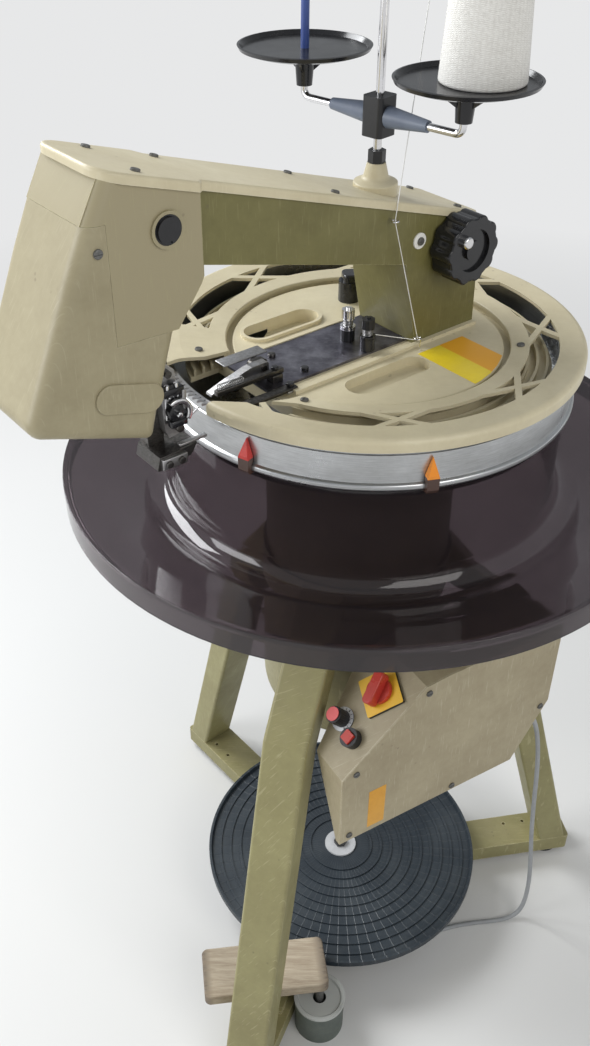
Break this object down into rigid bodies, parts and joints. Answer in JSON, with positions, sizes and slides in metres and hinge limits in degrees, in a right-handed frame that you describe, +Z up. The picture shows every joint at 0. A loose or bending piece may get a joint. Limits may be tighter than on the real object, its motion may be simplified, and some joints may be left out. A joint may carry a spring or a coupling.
{
  "type": "linking machine",
  "caption": "Floor-standing dial linking machine with an arm and sewing head, a smoked work bowl, a yarn stand, a control box and a treadle on a tripod.",
  "frame": {"origin": "on the floor, under the middle of the machine's bounding box without its free cords; the dial's axis stands at x = -9.0 mm, y = +5.2 mm", "axes": "+Z up, +Y away from the operator's side seen in the picture, +X to the right"},
  "size_m": [0.789, 0.7525, 1.652],
  "materials": {
    "cream": "satin",
    "olive": "satin",
    "leggreen": "satin",
    "boxbeige": "satin",
    "aluminium": "turned",
    "steel": "brushed",
    "darksteel": "worn",
    "chrome": "polished",
    "casting": "plain",
    "smoke": "smoked plastic",
    "blackplastic": "satin",
    "glossblack": "gloss",
    "greyplastic": "satin",
    "blueplastic": "satin",
    "redplastic": "gloss",
    "yellowplastic": "gloss",
    "white": "satin",
    "rubber": "matt",
    "traygrey": "satin",
    "wood": "weathered",
    "yarn": "wound thread",
    "cable": "matt"
  },
  "bodies": {
    "machine": {"arm_caps": "steel", "arm_casting": "olive", "arm_lid": "cream", "band_plate": "darksteel", "bearings": "steel", "bed_casting": "casting", "box_cover": "boxbeige", "button_bezels": "greyplastic", "cable_coil": "cable", "cable_gland": "blackplastic", "centre_plate": "cream", "control_box": "boxbeige", "drive_belt": "rubber", "drive_housing": "leggreen", "foot_frame": "leggreen", "foot_switch": "greyplastic", "gear_motor": "casting", "head_brackets": "steel", "hub_sleeves": "greyplastic", "isolator_plate": "yellowplastic", "leg_front": "leggreen", "leg_left": "leggreen", "leg_right": "leggreen", "machine_screws": "steel", "mains_cable": "cable", "mains_plug": "blackplastic", "nose_cover": "cream", "rod_collars": "blackplastic", "rubber_feet": "rubber", "sewing_thread": "yarn", "stand_rods": "chrome", "tension_posts": "chrome", "thread_guides": "chrome", "top_ring": "cream", "work_bowl": "smoke", "yarn_base": "casting", "yarn_cone": "yarn", "yarn_plates": "glossblack", "yarn_spindles": "blueplastic"},
    "dial": {"dial_ring": "aluminium", "point_ring": "steel", "ring_gear": "steel", "dial_markers": "redplastic"},
    "pinion": {"pinion_shaft": "steel"},
    "handwheel_body": {"handwheel": "glossblack", "hand_shaft": "chrome"},
    "head_drive": {"head_shaft": "steel"},
    "needle_body": {"needle_lever": "steel"},
    "looper_body": {"looper": "steel"},
    "release_body": {"release_knob": "glossblack"},
    "isolator_body": {"isolator_handle": "redplastic"},
    "speed_body": {"speed_knob": "blackplastic"},
    "start_body": {"start_button": "redplastic"},
    "treadle_body": {"treadle_board": "wood", "treadle_block": "casting"},
    "tray_body": {"tray_disc": "traygrey", "tray_washer": "steel"},
    "nut_one_body": {"tension_nut_1": "chrome"},
    "nut_two_body": {"tension_nut_2": "glossblack"}
  },
  "joints": [
    {"name": "dial_spin", "type": "hinge", "parent": "machine", "child": "dial", "pos_m": [-0.009, 0.0052, 0.974], "axis": [0, 0, 1], "continuous": true},
    {"name": "pinion_spin", "type": "hinge", "parent": "machine", "child": "pinion", "pos_m": [-0.08887, -0.02387, 0.99], "axis": [0, 0, 1], "continuous": true},
    {"name": "handwheel_spin", "type": "hinge", "parent": "machine", "child": "handwheel_body", "pos_m": [0.05325, 0.05384, 1.137], "axis": [-0.6157, 0.788, 0], "continuous": true},
    {"name": "head_shaft_spin", "type": "hinge", "parent": "machine", "child": "head_drive", "pos_m": [-0.24461, -0.17888, 1.244], "axis": [-0.6157, 0.788, 0], "continuous": true},
    {"name": "needle_rock", "type": "hinge", "parent": "machine", "child": "needle_body", "pos_m": [-0.23752, -0.17334, 1.085], "axis": [-0.6157, 0.788, 0], "range_deg": [-2, 14]},
    {"name": "looper_rock", "type": "hinge", "parent": "machine", "child": "looper_body", "pos_m": [-0.13508, -0.09331, 1.043], "axis": [-0.6157, 0.788, 0], "range_deg": [-2, 8]},
    {"name": "release_turn", "type": "hinge", "parent": "machine", "child": "release_body", "pos_m": [-0.0248, 0.11151, 1.04], "axis": [0, 0, 1], "range_deg": [0, 90]},
    {"name": "isolator_turn", "type": "hinge", "parent": "machine", "child": "isolator_body", "pos_m": [0.01234, -0.19033, 0.64081], "axis": [-0.5726, -0.3306, 0.7502], "range_deg": [0, 90]},
    {"name": "speed_turn", "type": "hinge", "parent": "machine", "child": "speed_body", "pos_m": [-0.03314, -0.19695, 0.59851], "axis": [-0.5726, -0.3306, 0.7502], "range_deg": [-135, 135]},
    {"name": "start_press", "type": "slide", "parent": "machine", "child": "start_body", "axis": [0.5726, 0.3306, -0.7502], "range_m": [0, 0.004], "stiffness_N_per_m": 400, "springref_m": -0.001},
    {"name": "treadle_tilt", "type": "hinge", "parent": "machine", "child": "treadle_body", "pos_m": [-0.12025, -0.25066, 0.076], "axis": [-0.3987, -0.9171, 0], "range_deg": [-4, 0], "stiffness_Nm_per_rad": 6, "springref_deg": 6.88},
    {"name": "tray_spin", "type": "hinge", "parent": "machine", "child": "tray_body", "pos_m": [-0.009, 0.0052, 0.07], "axis": [0, 0, 1], "continuous": true},
    {"name": "nut_one_turn", "type": "hinge", "parent": "machine", "child": "nut_one_body", "pos_m": [-0.03301, -0.00468, 1.06], "axis": [0, 0, 1], "range_deg": [-180, 180]},
    {"name": "nut_two_turn", "type": "hinge", "parent": "machine", "child": "nut_two_body", "pos_m": [-0.01191, -0.03006, 1.06], "axis": [0, 0, 1], "range_deg": [-180, 180]}
  ],
  "couplings": [
    {"joint": "pinion_spin", "follows": "dial_spin", "ratio": 3.125},
    {"joint": "head_shaft_spin", "follows": "handwheel_spin", "ratio": 1},
    {"joint": "looper_rock", "follows": "needle_rock", "ratio": 0.5}
  ]
}
